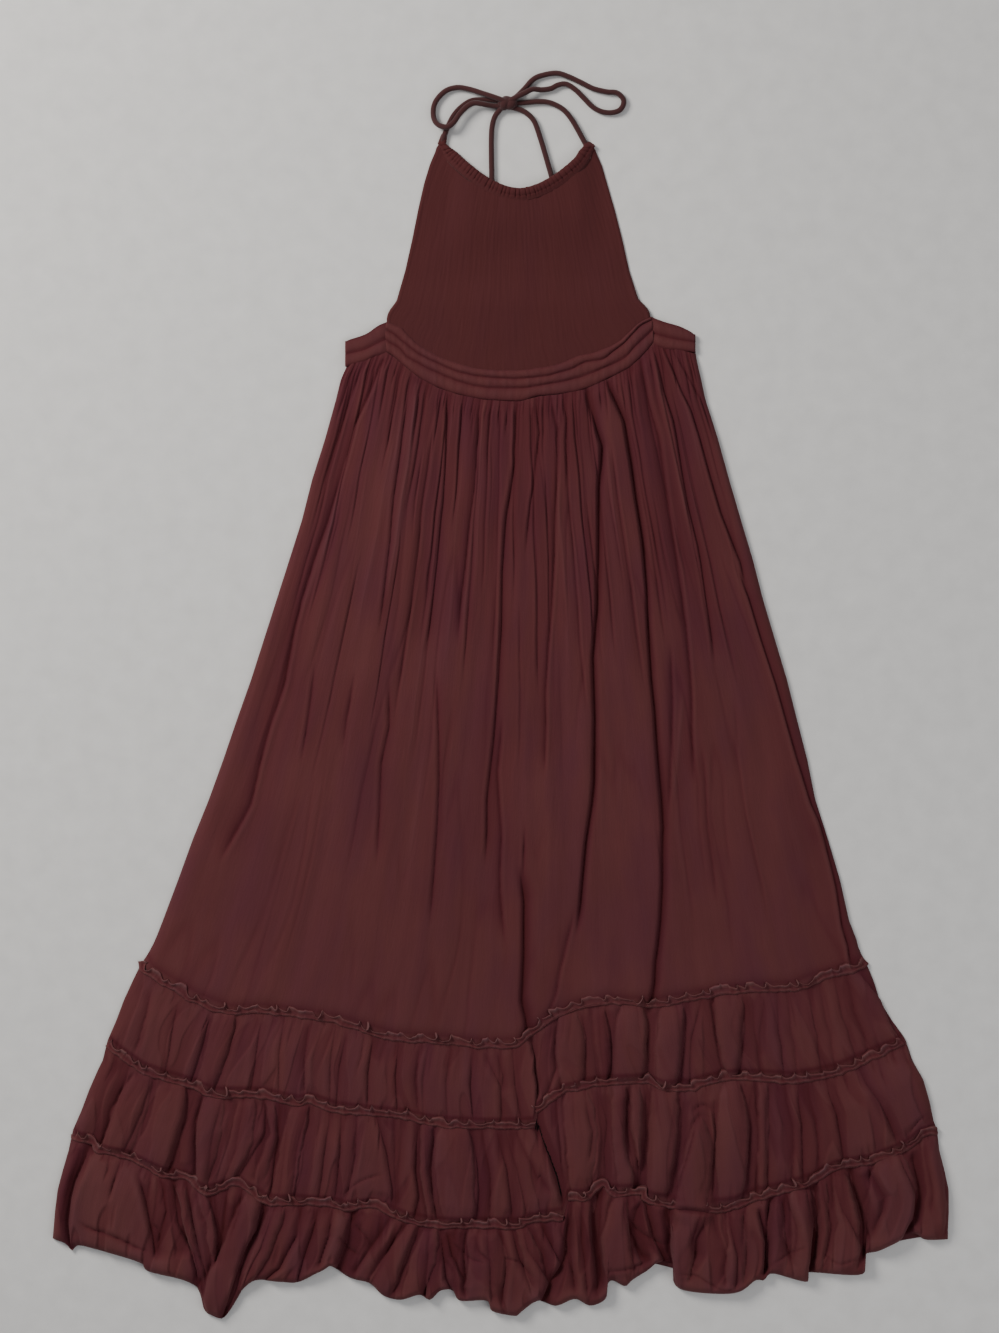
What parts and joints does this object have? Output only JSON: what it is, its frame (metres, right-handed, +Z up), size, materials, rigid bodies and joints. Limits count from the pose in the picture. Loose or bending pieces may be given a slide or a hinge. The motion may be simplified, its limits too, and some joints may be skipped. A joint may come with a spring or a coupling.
{
  "type": "maxi dress",
  "caption": "Halter-neck maxi dress with a curved waistband, gathered skirt and frilled tiers, lying flat and face up, its neck ties in a bow.",
  "frame": {"origin": "on the surface below the middle of the dress without its ties", "axes": "+Z up out of the surface, +Y along the dress towards the neck, +X across it towards the right of the picture"},
  "size_m": [1.056, 1.4699, 0.0205],
  "materials": {
    "cloth": "matt crinkled gauze, dark maroon brown",
    "bib_cloth": "matt finely crinkled gauze, a little darker",
    "tie_cloth": "matt rolled cloth cord"
  },
  "bodies": {
    "root": {"bib_front": "bib_cloth", "neck_casing": "bib_cloth", "waistband_front": "cloth", "waistband_back": "cloth", "skirt_front": "cloth", "skirt_back": "cloth", "tier_1_front": "cloth", "tier_1_back": "cloth", "tier_2_front": "cloth", "tier_2_back": "cloth", "tier_3_front": "cloth", "tier_3_back": "cloth", "neck_strap_left": "tie_cloth", "neck_strap_right": "tie_cloth", "bow_loop_left": "tie_cloth", "bow_loop_right": "tie_cloth", "tie_end_left": "tie_cloth", "tie_end_right": "tie_cloth", "bow_knot": "tie_cloth"}
  },
  "joints": []
}
